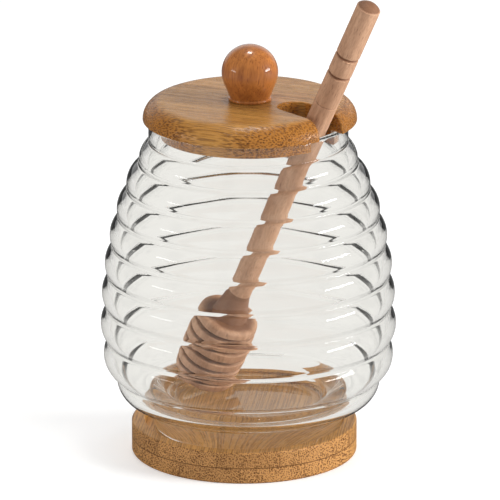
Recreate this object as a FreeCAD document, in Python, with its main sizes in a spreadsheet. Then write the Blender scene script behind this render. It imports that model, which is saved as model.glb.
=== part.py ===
import FreeCAD, Part
import math
import os

import Sketcher
from FreeCAD import Vector

# A beehive honey jar: a clear glass pot with nine bulging ribs standing in a round bamboo base,
# closed by a bamboo lid with a turned ball knob, with a beech honey dipper leaning through the
# notch in the lid. Millimetres, +Z up. The origin is on the jar's axis at the table.

doc = FreeCAD.newDocument("honey_jar")
os.makedirs("parts", exist_ok=True)

RIBS = 9           # bulging ribs up the glass wall
HEAD_GROOVES = 5   # grooves round the dipper's head
HANDLE_GROOVES = 2  # cut grooves near the top of the dipper's handle

# Each driving size: name, value, what it is.
SIZES = [
    ("base_radius", 38.2, "round bamboo base"),
    ("base_thickness", 11.0, "two glued plies of bamboo"),
    ("base_shift", -1.4, "the base stands a little off the jar's axis"),
    ("base_bottom_round", 0.9, "edge on the table"),
    ("base_top_round", 0.7, "outer top edge"),
    ("recess_radius", 33.7, "seat for the jar's foot"),
    ("recess_depth", 2.5, "depth of the seat"),
    ("recess_lip_round", 0.4, "edge of the seat"),

    ("belly_radius", 50.0, "widest rib of the glass"),
    ("belly_height", 38.7, "height where the ribs reach furthest out"),
    ("upper_reach", 87.7, "height over which the shape closes above the belly"),
    ("upper_power", 2.45, "fullness of the shoulder"),
    ("lower_reach", 37.1, "height over which the shape closes below the belly"),
    ("lower_power", 1.48, "fullness below the belly"),
    ("rib_round", 8.4, "radius of every rib's bulge"),
    ("groove_round", 0.7, "radius in the groove between two ribs"),
    ("top_rib_height", 102.3, "centre of the uppermost rib's bulge"),
    ("first_pitch", 8.2, "step from the first rib to the second"),
    ("full_pitch", 10.8, "step between the large ribs"),
    ("pitch_steps", 5.0, "ribs over which the step grows"),
    ("foot_pitch", 8.5, "step to the lowest rib"),
    ("wall", 2.4, "thickness of the glass, whose rim is melted fully round"),
    ("inner_groove_round", 1.1, "softer groove inside the glass"),
    ("neck_radius", 33.6, "straight neck above the ribs"),
    ("neck_cove", 1.2, "cove between the neck and the first rib"),
    ("rim_height", 116.3, "top of the glass, where the lid rests"),
    ("foot_radius", 32.0, "plain foot that stands in the base"),
    ("foot_round", 2.0, "lower edge of the foot"),
    ("foot_cove", 1.4, "cove between the foot and the lowest rib"),
    ("glass_bottom", 6.5, "thickness of the heavy bottom, at its edge"),
    ("punt_rise", 1.2, "rise of the underside in the middle, inside the ring it stands on"),
    ("ledge_round", 4.6, "rounded ledge inside, over the foot"),
    ("floor_round", 4.0, "corner of the floor inside"),

    ("lid_radius", 36.0, "overhanging disc"),
    ("lid_thickness", 6.9, "disc above the glass"),
    ("lid_round", 6.4, "large round over the rim of the disc"),
    ("lid_under_round", 0.4, "lower edge of the disc"),
    ("lid_shift", 0.5, "the lid sits a little off the jar's axis"),
    ("plug_radius", 30.4, "lower step that goes into the neck"),
    ("plug_depth", 4.9, "depth of that step"),
    ("plug_round", 0.6, "lower edge of that step"),
    ("notch_width", 11.7, "notch for the dipper's handle"),
    ("notch_turn", -50.0, "direction in which the notch runs out, degrees"),
    ("notch_end_across", 15.0, "centre of the notch's round end, from the lid's centre"),
    ("notch_end_back", -8.45, "the same centre, from front to back"),
    ("notch_length", 40.0, "past the rim of the lid"),
    ("notch_edge", 0.45, "broken edge round the notch"),

    ("knob_radius", 9.5, "ball"),
    ("knob_height", 19.1, "ball's top above the lid"),
    ("knob_waist", 6.9, "where the ball meets its foot ring"),
    ("knob_foot_radius", 7.3, "foot ring"),
    ("knob_foot_height", 1.3, "foot ring"),

    ("dipper_length", 162.3, "from the head's underside to the tip"),
    ("dipper_lean", 26.6, "from upright, degrees"),
    ("dipper_turn", -39.6, "direction in which the handle leans, degrees"),
    ("dipper_across", -15.66, "centre of the head's underside"),
    ("dipper_back", 16.65, "the same point, from front to back"),
    ("head_end_radius", 10.5, "head at either end"),
    ("head_radius", 11.4, "head at its middle"),
    ("head_length", 26.4, "ridged part"),
    ("head_groove_start", 3.0, "underside to the first groove"),
    ("head_groove_width", 1.5, "groove"),
    ("head_pitch", 4.7, "from groove to groove"),
    ("head_core", 7.0, "radius left inside the grooves"),
    ("ridge_round", 0.5, "edges of the ridges"),
    ("head_edge_round", 1.2, "end edges of the head"),
    ("neck_flare_radius", 6.4, "handle where it meets the head"),
    ("neck_flare_length", 9.0, "taper from the head to the plain handle"),
    ("handle_radius", 4.07, "plain handle"),
    ("dome_height", 1.9, "rounded tip"),
    ("handle_groove_top", 21.6, "tip to the upper handle groove"),
    ("handle_groove_step", 7.7, "between the two handle grooves"),
    ("handle_groove_width", 1.5, "mouth of a handle groove"),
    ("handle_groove_depth", 0.75, "depth of a handle groove"),
    ("line_groove_top", 41.6, "tip to the fine turned line"),
    ("line_groove_width", 0.7, "mouth of the fine line"),
    ("line_groove_depth", 0.3, "depth of the fine line"),
    ("clearance", 0.02, "between pieces that only rest on each other"),
]

# Sizes worked out from the driving ones, as formulas in the same sheet.
DERIVED = [
    ("seat_height", "base_thickness - recess_depth"),
    ("floor_height", "seat_height + glass_bottom"),
    ("inner_round", "rib_round - wall"),
    ("neck_inside", "neck_radius - wall"),
    ("rim_round", "wall / 2"),
    ("lid_top", "rim_height + lid_thickness"),
    ("plug_bottom", "rim_height - plug_depth"),
    ("barrel_slope", "2 * atan((head_radius - head_end_radius) / (head_length / 2))"),
    ("corner_out", "head_end_radius - head_edge_round / tan(45deg + barrel_slope / 2)"),
    ("dipper_foot_height", "floor_height + clearance + sin(dipper_lean * 1deg) * corner_out"
                           " + head_edge_round * (1 - cos(dipper_lean * 1deg))"),
    ("knob_centre", "knob_height - knob_radius"),
    ("handle_straight", "dipper_length - dome_height"),
    ("flare_top", "head_length + neck_flare_length"),
    ("upper_groove_height", "dipper_length - handle_groove_top"),
    ("line_groove_height", "dipper_length - line_groove_top"),
]

sheet = doc.addObject("Spreadsheet::Sheet", "sizes")


def fill_sheet():
    """Write every driving size, then the ones worked out from them, and the ribs' centres."""
    row = 1
    for name, value, meaning in SIZES:
        sheet.set("A%d" % row, name)
        sheet.set("B%d" % row, str(value))
        sheet.set("C%d" % row, meaning)
        sheet.setAlias("B%d" % row, name)
        row += 1
    formulas = list(DERIVED)
    for rib in range(RIBS):
        height = "rib_%d_height" % rib
        if rib == 0:
            formulas.append((height, "top_rib_height"))
        elif rib < RIBS - 1:
            step = "first_pitch + (full_pitch - first_pitch) * min(1; %d / pitch_steps)" % (rib - 1)
            formulas.append((height, "rib_%d_height - (%s)" % (rib - 1, step)))
        else:
            formulas.append((height, "rib_%d_height - foot_pitch" % (rib - 1)))
        away = "abs(%s - belly_height)" % height
        fall = ("(%s > belly_height ? pow(%s / upper_reach; upper_power)"
                " : pow(%s / lower_reach; lower_power))" % (height, away, away))
        formulas.append(("rib_%d_centre" % rib, "belly_radius * sqrt(1 - %s) - rib_round" % fall))
    for name, formula in formulas:
        sheet.set("A%d" % row, name)
        sheet.set("B%d" % row, "=" + formula)
        sheet.setAlias("B%d" % row, name)
        row += 1
    doc.recompute()


def size(name):
    """The value of a named size."""
    value = sheet.get(name)
    return float(getattr(value, "Value", value))


def new_body(name):
    """A body that becomes one separate piece."""
    body = doc.addObject("PartDesign::Body", name)
    return body


def plane(body, role):
    """One of a body's own origin planes."""
    for feature in body.Origin.OriginFeatures:
        if feature.Role == role:
            return feature
    raise ValueError(role)


def new_sketch(body, name, role, height=None):
    """A sketch on one of the body's planes, at a named height above it if one is given."""
    sketch = body.newObject("Sketcher::SketchObject", name)
    sketch.AttachmentSupport = [(plane(body, role), "")]
    sketch.MapMode = "FlatFace"
    if height:
        sketch.setExpression("AttachmentOffset.Base.z", "sizes.%s" % height)
        doc.recompute()
    return sketch


def bind(sketch, kind, where, name, value, formula):
    """Add a dimension to a sketch and drive it from the sheet."""
    index = sketch.addConstraint(Sketcher.Constraint(kind, *where, value))
    sketch.renameConstraint(index, name)
    sketch.setExpression("Constraints." + name, formula)
    return index


def place_point(sketch, where, name, across, up):
    """Fix a point by its distance from the sketch's axes, each a named size or nothing for zero."""
    geometry, point = where
    if across:
        bind(sketch, "DistanceX", (-1, 1, geometry, point), name + "_across", size(across),
             "sizes." + across)
    else:
        sketch.addConstraint(Sketcher.Constraint("PointOnObject", geometry, point, -2))
    if up:
        bind(sketch, "DistanceY", (-1, 1, geometry, point), name + "_up", size(up), "sizes." + up)
    else:
        sketch.addConstraint(Sketcher.Constraint("PointOnObject", geometry, point, -1))


def flat(across, up):
    """A point in a sketch."""
    return Vector(across, up, 0)


def arc_between(centre, radius, first, last):
    """An arc of a circle from one point to another, the short way round."""
    start = math.atan2(first.y - centre.y, first.x - centre.x)
    end = math.atan2(last.y - centre.y, last.x - centre.x)
    if (end - start) % (2 * math.pi) > math.pi:
        start, end = end, start
    return Part.ArcOfCircle(Part.Circle(centre, Vector(0, 0, 1), radius), start, end)


def end_nearest(sketch, geometry, point):
    """Which end of a piece of geometry lies at a point: 1 for its start, 2 for its end."""
    gaps = [(sketch.getPoint(geometry, which) - point).Length for which in (1, 2)]
    return 1 if gaps[0] <= gaps[1] else 2


def join(sketch, first, second, point, smooth=True):
    """Join two pieces of geometry at a point, tangent to each other unless told otherwise."""
    kind = "Tangent" if smooth else "Coincident"
    sketch.addConstraint(Sketcher.Constraint(kind, first, end_nearest(sketch, first, point),
                                             second, end_nearest(sketch, second, point)))


def circle_sketch(sketch, name, radius):
    """A circle round the sketch's origin with a named radius."""
    sketch.addGeometry(Part.Circle(Vector(0, 0, 0), Vector(0, 0, 1), size(radius)), False)
    sketch.addConstraint(Sketcher.Constraint("Coincident", 0, 3, -1, 1))
    bind(sketch, "Radius", (0,), name, size(radius), "sizes." + radius)


def extrude(body, kind, name, sketch, length, reverse=False):
    """A pad or pocket of a named length."""
    feature = body.newObject(kind, name)
    feature.Profile = sketch
    feature.Length = size(length)
    feature.setExpression("Length", "sizes." + length)
    feature.Reversed = reverse
    sketch.Visibility = False
    doc.recompute()
    return feature


def turn(body, kind, name, sketch):
    """A full revolution, or a groove cut all the way round, about the sketch's upright axis."""
    feature = body.newObject(kind, name)
    feature.Profile = sketch
    feature.ReferenceAxis = (sketch, ["V_Axis"])
    feature.Angle = 360.0
    sketch.Visibility = False
    doc.recompute()
    return feature


def round_edges(body, name, base, radius, wanted):
    """Round every edge of a feature that a test picks out."""
    picked = ["Edge%d" % (number + 1) for number, edge in enumerate(base.Shape.Edges) if wanted(edge)]
    if not picked:
        raise ValueError("no edge for " + name)
    feature = body.newObject("PartDesign::Fillet", name)
    feature.Base = (base, picked)
    feature.Radius = size(radius)
    feature.setExpression("Radius", "sizes." + radius)
    doc.recompute()
    return feature


def ring_of(edge):
    """Radius and height of an edge that runs round the axis at one level, or nothing."""
    if edge.Degenerated:
        return None
    ends = edge.FirstParameter, edge.LastParameter
    one, two = edge.valueAt(ends[0]), edge.valueAt(0.5 * (ends[0] + ends[1]))
    radius = math.hypot(one.x, one.y)
    if abs(one.z - two.z) > 0.001 or abs(math.hypot(two.x, two.y) - radius) > 0.001:
        return None
    return radius, one.z


def is_ring(edge, radius, height):
    """Whether an edge runs round the axis at a given radius and height."""
    ring = ring_of(edge)
    return ring is not None and abs(ring[0] - radius) < 0.02 and abs(ring[1] - height) < 0.02


def make_base():
    """Round bamboo base with a shallow seat for the jar."""
    body = new_body("base")
    body.setExpression("Placement.Base.x", "sizes.base_shift")
    outline = new_sketch(body, "base_outline", "XY_Plane")
    circle_sketch(outline, "outer", "base_radius")
    disc = extrude(body, "PartDesign::Pad", "base_disc", outline, "base_thickness")
    seat = new_sketch(body, "seat_outline", "XY_Plane", "base_thickness")
    circle_sketch(seat, "seat", "recess_radius")
    hollow = extrude(body, "PartDesign::Pocket", "seat_recess", seat, "recess_depth")
    radius, top = size("base_radius"), size("base_thickness")
    lower = round_edges(body, "base_lower_edge", hollow, "base_bottom_round",
                        lambda edge: is_ring(edge, radius, 0.0))
    upper = round_edges(body, "base_upper_edge", lower, "base_top_round",
                        lambda edge: is_ring(edge, radius, top))
    round_edges(body, "seat_edge", upper, "recess_lip_round",
                lambda edge: is_ring(edge, size("recess_radius"), top))
    return body


def outside_tangent(first, first_radius, second, second_radius, small, outward=True):
    """Centre of a small circle that touches two circles from outside, on the far side from the axis."""
    reach_a, reach_b = first_radius + small, second_radius + small
    line = second - first
    length = line.Length
    along = (reach_a ** 2 - reach_b ** 2 + length ** 2) / (2 * length)
    off = math.sqrt(reach_a ** 2 - along ** 2)
    unit = line / length
    normal = Vector(-unit.y, unit.x, 0)
    if (normal.x < 0) == outward:
        normal = -normal
    return first + unit * along + normal * off


def touch(centre, radius, other):
    """Where the line from a circle's centre towards another centre crosses the circle."""
    return centre + (other - centre).normalize() * radius


def rib_chain(sketch, radius, small, name, small_name, entry, leave):
    """Arcs of the ribs on one side of the glass, with a small cove in each groove between them.

    entry and leave are where the chain starts on the first rib and ends on the last."""
    centres = [flat(size("rib_%d_centre" % rib), size("rib_%d_height" % rib)) for rib in range(RIBS)]
    coves = [outside_tangent(a, radius, b, radius, small) for a, b in zip(centres, centres[1:])]
    ribs = []
    for rib, centre in enumerate(centres):
        start = entry if rib == 0 else touch(centre, radius, coves[rib - 1])
        end = leave if rib == RIBS - 1 else touch(centre, radius, coves[rib])
        ribs.append(sketch.addGeometry(arc_between(centre, radius, start, end), False))
        place_point(sketch, (ribs[-1], 3), "%s_%d" % (name, rib),
                    "rib_%d_centre" % rib, "rib_%d_height" % rib)
        if rib == 0:
            bind(sketch, "Radius", (ribs[0],), name + "_round", radius,
                 "sizes.rib_round" if name == "outer_rib" else "sizes.inner_round")
        else:
            sketch.addConstraint(Sketcher.Constraint("Equal", ribs[0], ribs[-1]))
    first_cove = None
    for rib, cove in enumerate(coves):
        start, end = touch(centres[rib], radius, cove), touch(centres[rib + 1], radius, cove)
        index = sketch.addGeometry(arc_between(cove, small, start, end), False)
        join(sketch, ribs[rib], index, start)
        join(sketch, index, ribs[rib + 1], end)
        if first_cove is None:
            first_cove = index
            bind(sketch, "Radius", (index,), small_name, small, "sizes." + small_name)
        else:
            sketch.addConstraint(Sketcher.Constraint("Equal", first_cove, index))
    return ribs[0], ribs[-1]


def add_line(sketch, first, last, upright=None):
    """A straight edge, upright or level if asked."""
    index = sketch.addGeometry(Part.LineSegment(first, last), False)
    if upright is not None:
        sketch.addConstraint(Sketcher.Constraint("Vertical" if upright else "Horizontal", index))
    return index


def add_round(sketch, centre, radius, start, end, name, size_name):
    """A rounding arc with a named radius."""
    index = sketch.addGeometry(arc_between(centre, radius, start, end), False)
    bind(sketch, "Radius", (index,), name, radius, "sizes." + size_name)
    return index


def make_jar():
    """Glass pot: the ribbed section of its wall, turned about the axis.

    The outside is a chain of equal arcs whose centres follow the belly's curve and whose steps
    grow downwards; the inside repeats it one wall thickness in, with softer grooves."""
    body = new_body("jar")
    sketch = new_sketch(body, "wall_section", "XZ_Plane")

    rim, seat, floor = size("rim_height"), size("seat_height"), size("floor_height")
    neck, bore, lip = size("neck_radius"), size("neck_inside"), size("rim_round")
    outer, inner = size("rib_round"), size("inner_round")
    top = flat(size("rib_0_centre"), size("rib_0_height"))
    low = flat(size("rib_%d_centre" % (RIBS - 1)), size("rib_%d_height" % (RIBS - 1)))
    cove, foot, foot_round, foot_cove = (size("neck_cove"), size("foot_radius"), size("foot_round"),
                                         size("foot_cove"))

    # coves where the neck and the foot run into the ribs
    def neck_cove_centre(wall_radius, rib_radius):
        across = wall_radius + cove
        return flat(across, top.y + math.sqrt((rib_radius + cove) ** 2 - (across - top.x) ** 2))

    outer_cove = neck_cove_centre(neck, outer)
    inner_cove = neck_cove_centre(bore, inner)
    foot_centre = flat(foot + foot_cove,
                       low.y - math.sqrt((outer + foot_cove) ** 2 - (foot + foot_cove - low.x) ** 2))

    # ledge and floor inside the bottom
    ledge, corner = size("ledge_round"), size("floor_round")
    ledge_centre = flat(foot - 0.5 * size("wall"), 0)
    ledge_centre.y = low.y - math.sqrt((inner + ledge) ** 2 - (ledge_centre.x - low.x) ** 2)
    corner_up = floor + corner
    inward = math.sqrt((ledge + corner) ** 2 - (corner_up - ledge_centre.y) ** 2)
    corner_centre = flat(ledge_centre.x - inward, corner_up)

    outer_first, outer_last = rib_chain(sketch, outer, size("groove_round"), "outer_rib", "groove_round",
                                        touch(top, outer, outer_cove), touch(low, outer, foot_centre))
    inner_first, inner_last = rib_chain(sketch, inner, size("inner_groove_round"), "inner_rib",
                                        "inner_groove_round", touch(top, inner, inner_cove),
                                        touch(low, inner, ledge_centre))

    # outside of the neck, and the rim
    points = {
        "outer_neck_low": flat(neck, outer_cove.y), "outer_neck_high": flat(neck, rim - lip),
        "bore_high": flat(bore, rim - lip), "bore_low": flat(bore, inner_cove.y),
        "foot_high": flat(foot, foot_centre.y), "foot_low": flat(foot, seat + foot_round),
        "under_edge": flat(foot - foot_round, seat), "under_centre": flat(0, seat + size("punt_rise")),
        "floor_edge": flat(corner_centre.x, floor), "floor_centre": flat(0, floor),
    }
    neck_cove_arc = add_round(sketch, outer_cove, cove, touch(top, outer, outer_cove),
                              points["outer_neck_low"], "neck_cove_outer", "neck_cove")
    neck_line = add_line(sketch, points["outer_neck_low"], points["outer_neck_high"], True)
    rim_circle = Part.Circle(flat(neck - lip, rim - lip), Vector(0, 0, 1), lip)
    rim_arc = sketch.addGeometry(Part.ArcOfCircle(rim_circle, 0, math.pi), False)
    bore_line = add_line(sketch, points["bore_high"], points["bore_low"], True)
    bore_cove = add_round(sketch, inner_cove, cove, points["bore_low"], touch(top, inner, inner_cove),
                          "neck_cove_inner", "neck_cove")
    join(sketch, outer_first, neck_cove_arc, touch(top, outer, outer_cove))
    join(sketch, neck_cove_arc, neck_line, points["outer_neck_low"])
    join(sketch, neck_line, rim_arc, points["outer_neck_high"])
    join(sketch, rim_arc, bore_line, points["bore_high"])
    join(sketch, bore_line, bore_cove, points["bore_low"])
    join(sketch, bore_cove, inner_first, touch(top, inner, inner_cove))
    bind(sketch, "DistanceX", (-1, 1, neck_line, 1), "neck_outside", neck, "sizes.neck_radius")
    bind(sketch, "DistanceX", (-1, 1, bore_line, 1), "neck_bore", bore, "sizes.neck_inside")
    bind(sketch, "DistanceY", (-1, 1, rim_arc, 3), "rim_centre_up", rim - lip,
         "sizes.rim_height - sizes.rim_round")

    # foot, the ring it stands on and the hollow underside
    foot_arc = add_round(sketch, foot_centre, foot_cove, touch(low, outer, foot_centre),
                         points["foot_high"], "foot_cove", "foot_cove")
    foot_line = add_line(sketch, points["foot_high"], points["foot_low"], True)
    heel = add_round(sketch, flat(foot - foot_round, seat + foot_round), foot_round, points["foot_low"],
                     points["under_edge"], "foot_round", "foot_round")
    rise, stand = size("punt_rise"), foot - foot_round
    punt_round = (stand ** 2 + rise ** 2) / (2 * rise)
    punt_centre = flat(0, seat + rise - punt_round)
    punt = sketch.addGeometry(arc_between(punt_centre, punt_round, points["under_edge"],
                                          points["under_centre"]), False)
    join(sketch, outer_last, foot_arc, touch(low, outer, foot_centre))
    join(sketch, foot_arc, foot_line, points["foot_high"])
    join(sketch, foot_line, heel, points["foot_low"])
    join(sketch, heel, punt, points["under_edge"], smooth=False)
    sketch.addConstraint(Sketcher.Constraint("PointOnObject", punt, 3, -2))
    bind(sketch, "DistanceX", (-1, 1, foot_line, 1), "foot_outside", foot, "sizes.foot_radius")
    bind(sketch, "DistanceY", (-1, 1, heel, 3), "stand_up", seat + foot_round,
         "sizes.seat_height + sizes.foot_round")
    bind(sketch, "DistanceX", (-1, 1, punt, end_nearest(sketch, punt, points["under_edge"])), "ring_out",
         stand, "sizes.foot_radius - sizes.foot_round")

    # ledge and floor inside
    ledge_arc = add_round(sketch, ledge_centre, ledge, touch(low, inner, ledge_centre),
                          touch(ledge_centre, ledge, corner_centre), "ledge_round", "ledge_round")
    corner_arc = add_round(sketch, corner_centre, corner, touch(ledge_centre, ledge, corner_centre),
                           points["floor_edge"], "floor_round", "floor_round")
    floor_line = add_line(sketch, points["floor_edge"], points["floor_centre"], False)
    axis_line = add_line(sketch, points["floor_centre"], points["under_centre"], True)
    join(sketch, inner_last, ledge_arc, touch(low, inner, ledge_centre))
    join(sketch, ledge_arc, corner_arc, touch(ledge_centre, ledge, corner_centre))
    join(sketch, corner_arc, floor_line, points["floor_edge"])
    join(sketch, floor_line, axis_line, points["floor_centre"], smooth=False)
    join(sketch, axis_line, punt, points["under_centre"], smooth=False)
    bind(sketch, "DistanceX", (-1, 1, ledge_arc, 3), "ledge_out", ledge_centre.x,
         "sizes.foot_radius - 0.5 * sizes.wall")
    bind(sketch, "DistanceY", (-1, 1, floor_line, 1), "floor_level", floor, "sizes.floor_height")
    bind(sketch, "DistanceY", (-1, 1, axis_line, 2), "punt_up", points["under_centre"].y,
         "sizes.seat_height + sizes.punt_rise")
    sketch.addConstraint(Sketcher.Constraint("PointOnObject", axis_line, 1, -2))

    doc.recompute()
    turn(body, "PartDesign::Revolution", "glass_wall", sketch)
    return body


def make_lid():
    """Bamboo lid: overhanging disc with a large round rim, a plug below and a notch for the dipper."""
    body = new_body("lid")
    body.setExpression("Placement.Base.x", "sizes.lid_shift")
    body.setExpression("Placement.Base.z", "sizes.rim_height")
    outline = new_sketch(body, "lid_outline", "XY_Plane")
    circle_sketch(outline, "disc", "lid_radius")
    disc = extrude(body, "PartDesign::Pad", "lid_disc", outline, "lid_thickness")
    lower = round_edges(body, "lid_under_edge", disc, "lid_under_round",
                        lambda edge: is_ring(edge, size("lid_radius"), 0.0))
    upper = round_edges(body, "lid_round_rim", lower, "lid_round",
                        lambda edge: is_ring(edge, size("lid_radius"), size("lid_thickness")))
    plug = new_sketch(body, "plug_outline", "XY_Plane")
    circle_sketch(plug, "plug", "plug_radius")
    step = extrude(body, "PartDesign::Pad", "lid_plug", plug, "plug_depth", reverse=True)
    eased = round_edges(body, "plug_edge", step, "plug_round",
                        lambda edge: is_ring(edge, size("plug_radius"), -size("plug_depth")))

    notch = new_sketch(body, "notch_outline", "XY_Plane", "lid_thickness")
    half = size("notch_width") / 2
    angle = math.radians(size("notch_turn"))
    end = flat(size("notch_end_across"), size("notch_end_back"))
    out = flat(math.cos(angle), math.sin(angle))
    side = flat(-out.y, out.x)
    length = size("notch_length")
    left, right = end + side * half, end - side * half
    far_left, far_right = left + out * length, right + out * length
    cap = notch.addGeometry(Part.ArcOfCircle(Part.Circle(end, Vector(0, 0, 1), half),
                                             angle + math.pi / 2, angle + 3 * math.pi / 2), False)
    one = add_line(notch, left, far_left)
    two = add_line(notch, right, far_right)
    across = add_line(notch, far_left, far_right)
    join(notch, cap, one, left)
    join(notch, cap, two, right)
    join(notch, one, across, far_left, smooth=False)
    join(notch, across, two, far_right, smooth=False)
    notch.addConstraint(Sketcher.Constraint("Perpendicular", one, across))
    bind(notch, "DistanceX", (-1, 1, cap, 3), "end_across", end.x, "sizes.notch_end_across")
    bind(notch, "DistanceY", (cap, 3, -1, 1), "end_back", -end.y, "-sizes.notch_end_back")
    bind(notch, "Radius", (cap,), "half_width", half, "sizes.notch_width / 2")
    bind(notch, "Distance", (one,), "run_out", length, "sizes.notch_length")
    bind(notch, "Angle", (-1, one), "turn", angle, "sizes.notch_turn * 1deg")
    doc.recompute()
    cut = body.newObject("PartDesign::Pocket", "lid_notch")
    cut.Profile = notch
    cut.Type = "ThroughAll"
    notch.Visibility = False
    doc.recompute()

    def on_notch_top(edge):
        """Edges where the notch's walls meet the top of the lid."""
        box = edge.BoundBox
        middle = edge.valueAt((edge.FirstParameter + edge.LastParameter) / 2)
        offset = (middle - Vector(end.x, end.y, middle.z))
        along, sideways = offset.dot(out), offset.dot(side)
        near_wall = abs(abs(sideways) - half) < 0.01 or abs(math.hypot(along, sideways) - half) < 0.01
        return near_wall and box.ZMin > 0.45 and not (box.ZLength > 1.0 and box.XLength < 0.01)

    round_edges(body, "notch_edge", cut, "notch_edge", on_notch_top)
    return body


def make_knob():
    """Turned ball knob that stands on its own small foot ring."""
    body = new_body("knob")
    body.setExpression("Placement.Base.x", "sizes.lid_shift")
    body.setExpression("Placement.Base.z", "sizes.lid_top")
    sketch = new_sketch(body, "knob_section", "XZ_Plane")
    ball, foot_up = size("knob_radius"), size("knob_foot_height")
    centre, crease = flat(0, size("knob_centre")), flat(size("knob_waist"), foot_up)
    bead = foot_up / 2
    bead_out = size("knob_foot_radius") - bead
    # the skirt leaves the ball on a tangent and runs down to the foot ring
    away = crease - centre
    bearing = math.atan2(away.y, away.x) + math.acos(ball / away.Length)
    leaving = centre + flat(math.cos(bearing), math.sin(bearing)) * ball
    crown = centre + flat(0, ball)
    low, high = flat(bead_out, 0), flat(bead_out, foot_up)

    under = add_line(sketch, flat(0, 0), low, False)
    ring = sketch.addGeometry(Part.ArcOfCircle(Part.Circle(flat(bead_out, bead), Vector(0, 0, 1), bead),
                                               -math.pi / 2, math.pi / 2), False)
    shelf = add_line(sketch, high, crease, False)
    skirt = add_line(sketch, crease, leaving)
    round_top = sketch.addGeometry(arc_between(centre, ball, leaving, crown), False)
    axis = add_line(sketch, crown, flat(0, 0), True)
    join(sketch, under, ring, low)
    join(sketch, ring, shelf, high)
    join(sketch, shelf, skirt, crease, smooth=False)
    join(sketch, skirt, round_top, leaving)
    join(sketch, round_top, axis, crown, smooth=False)
    join(sketch, axis, under, flat(0, 0), smooth=False)
    sketch.addConstraint(Sketcher.Constraint("Coincident", under, 1, -1, 1))
    sketch.addConstraint(Sketcher.Constraint("PointOnObject", round_top, 3, -2))
    bind(sketch, "DistanceY", (-1, 1, round_top, 3), "centre_up", centre.y, "sizes.knob_centre")
    bind(sketch, "Radius", (round_top,), "ball", ball, "sizes.knob_radius")
    bind(sketch, "DistanceX", (-1, 1, skirt, 1), "waist", crease.x, "sizes.knob_waist")
    bind(sketch, "DistanceY", (-1, 1, skirt, 1), "foot_up", foot_up, "sizes.knob_foot_height")
    bind(sketch, "DistanceX", (-1, 1, ring, 3), "bead_out", bead_out,
         "sizes.knob_foot_radius - sizes.knob_foot_height / 2")
    doc.recompute()
    turn(body, "PartDesign::Revolution", "knob_turned", sketch)
    return body


def triangle_groove(body, name, height, width, depth):
    """A turned V groove in the handle, with its mouth centred at a named height."""
    sketch = new_sketch(body, name + "_section", "XZ_Plane")
    up, half, deep, skin = size(height), size(width) / 2, size(depth), size("handle_radius")
    spill = 0.5
    inner = flat(skin - deep, up)
    rise = half * (deep + spill) / deep
    upper, lower = flat(skin + spill, up + rise), flat(skin + spill, up - rise)
    first = add_line(sketch, inner, upper)
    mouth = add_line(sketch, upper, lower, True)
    second = add_line(sketch, lower, inner)
    join(sketch, first, mouth, upper, smooth=False)
    join(sketch, mouth, second, lower, smooth=False)
    join(sketch, second, first, inner, smooth=False)
    sketch.addConstraint(Sketcher.Constraint("Equal", first, second))
    bind(sketch, "DistanceX", (-1, 1, first, 1), "bottom_across", inner.x,
         "sizes.handle_radius - sizes.%s" % depth)
    bind(sketch, "DistanceY", (-1, 1, first, 1), "bottom_up", up, "sizes.%s" % height)
    bind(sketch, "DistanceX", (-1, 1, mouth, 1), "mouth_across", upper.x,
         "sizes.handle_radius + %g" % spill)
    bind(sketch, "DistanceY", (mouth, 2, mouth, 1), "mouth_wide", 2 * rise,
         "sizes.%s * (sizes.%s + %g) / sizes.%s" % (width, depth, spill, depth))
    doc.recompute()
    return sketch, turn(body, "PartDesign::Groove", name, sketch)


def repeat(body, name, feature, sketch, count, step, reverse=False):
    """Repeat a feature along a sketch's upright axis at a named step."""
    pattern = body.newObject("PartDesign::LinearPattern", name)
    pattern.Originals = [feature]
    pattern.Direction = (sketch, ["V_Axis"])
    pattern.Reversed = reverse
    pattern.Occurrences = count
    pattern.Length = size(step) * (count - 1)
    pattern.setExpression("Length", "sizes.%s * %d" % (step, count - 1))
    body.Tip = pattern
    doc.recompute()
    return pattern


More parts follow.
